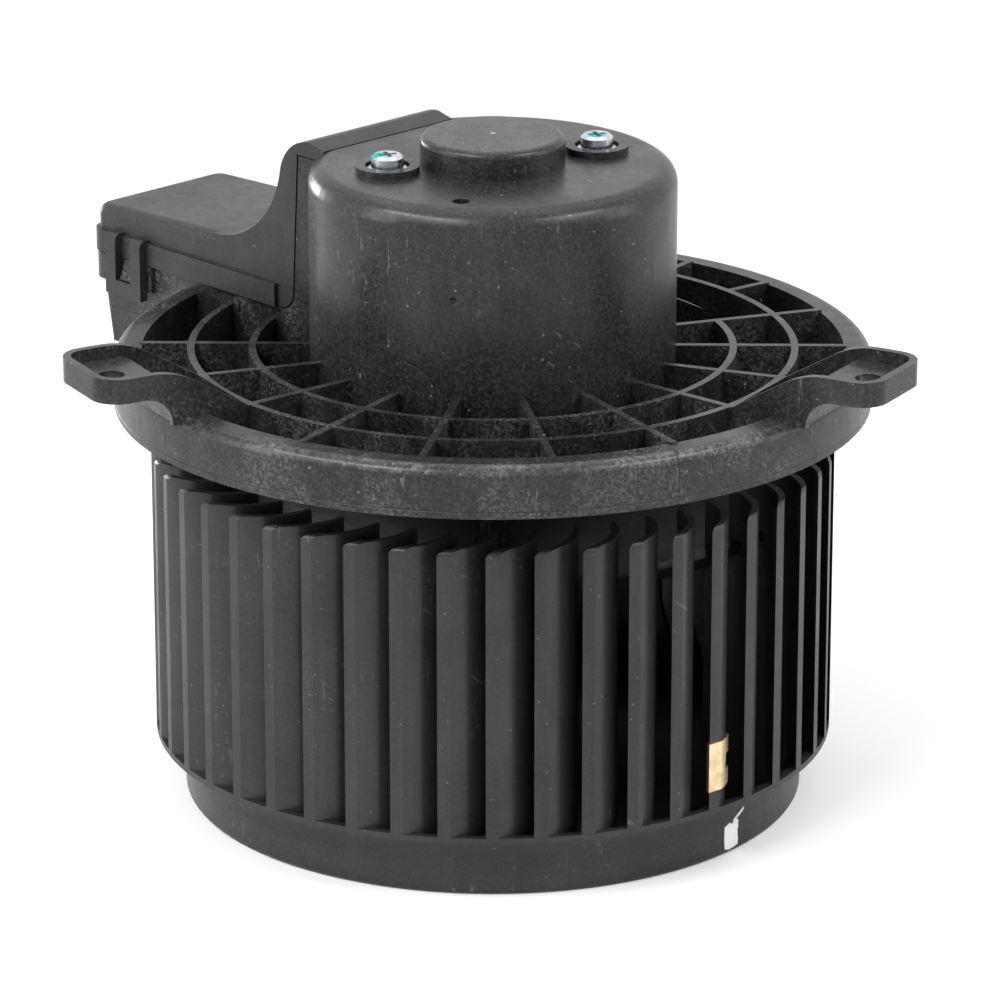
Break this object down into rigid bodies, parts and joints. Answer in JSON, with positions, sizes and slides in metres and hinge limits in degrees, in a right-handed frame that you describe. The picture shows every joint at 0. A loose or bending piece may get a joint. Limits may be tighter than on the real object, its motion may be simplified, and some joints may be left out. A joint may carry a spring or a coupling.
{
  "type": "car cabin blower motor",
  "caption": "Round-flanged carrier with ear mounts holds a domed brushed motor that spins a forward-curved blower wheel; side box holds the controller.",
  "frame": {"origin": "on the motor's axis at the mounting face, the underside of the three ears", "axes": "+Z along the motor's axis up through the dome, +X through the electronics box to its socket"},
  "size_m": [0.2074, 0.1808, 0.1489],
  "materials": {
    "black_moulding": "satin black glass-filled moulding",
    "wheel_moulding": "satin black moulding",
    "motor_plastic": "matte dark moulding",
    "black_rubber": "matte rubber",
    "plated_steel": "bright zinc plate",
    "spring_steel": "plain spring steel",
    "ground_steel": "ground",
    "lamination_steel": "stacked sheet",
    "clip_steel": "yellow plated steel",
    "sintered_bronze": "oiled sintered bronze",
    "brass_sheet": "plain brass",
    "tinned_brass": "tin plate",
    "copper_bars": "turned copper",
    "copper_wire": "varnished copper",
    "ferrite": "plain ferrite",
    "carbon": "pressed carbon",
    "red_wire": "wire sleeve",
    "board_green": "lacquered board",
    "capacitor_black": "sleeve",
    "chip_black": "moulded case",
    "cast_aluminium": "as extruded",
    "washer_plastic": "nylon"
  },
  "bodies": {
    "housing": {"motor_carrier": "black_moulding", "electronics_cover": "black_moulding", "motor_can": "plated_steel", "brush_end_plate": "motor_plastic", "upper_bush": "sintered_bronze", "lower_bush": "sintered_bronze", "upper_damper": "black_rubber", "lower_damper": "black_rubber", "field_magnets": "ferrite", "magnet_springs": "spring_steel", "carbon_brushes": "carbon", "brush_tubes": "brass_sheet", "motor_leads": "red_wire", "control_board": "board_green", "board_screws": "plated_steel", "filter_capacitor": "capacitor_black", "choke_coil": "ferrite", "power_transistors": "chip_black", "heat_sink": "cast_aluminium", "connector_pins": "tinned_brass", "screw_washers": "plated_steel", "case_screws": "plated_steel"},
    "rotor": {"motor_shaft": "ground_steel", "armature_core": "lamination_steel", "armature_windings": "copper_wire", "commutator": "copper_bars", "thrust_washers": "washer_plastic", "blower_wheel": "wheel_moulding", "wheel_clip": "spring_steel", "balance_clip": "clip_steel"}
  },
  "joints": [
    {"name": "fan_spin", "type": "hinge", "parent": "housing", "child": "rotor", "pos_m": [0, 0, 0], "axis": [0, 0, 1], "continuous": true}
  ]
}
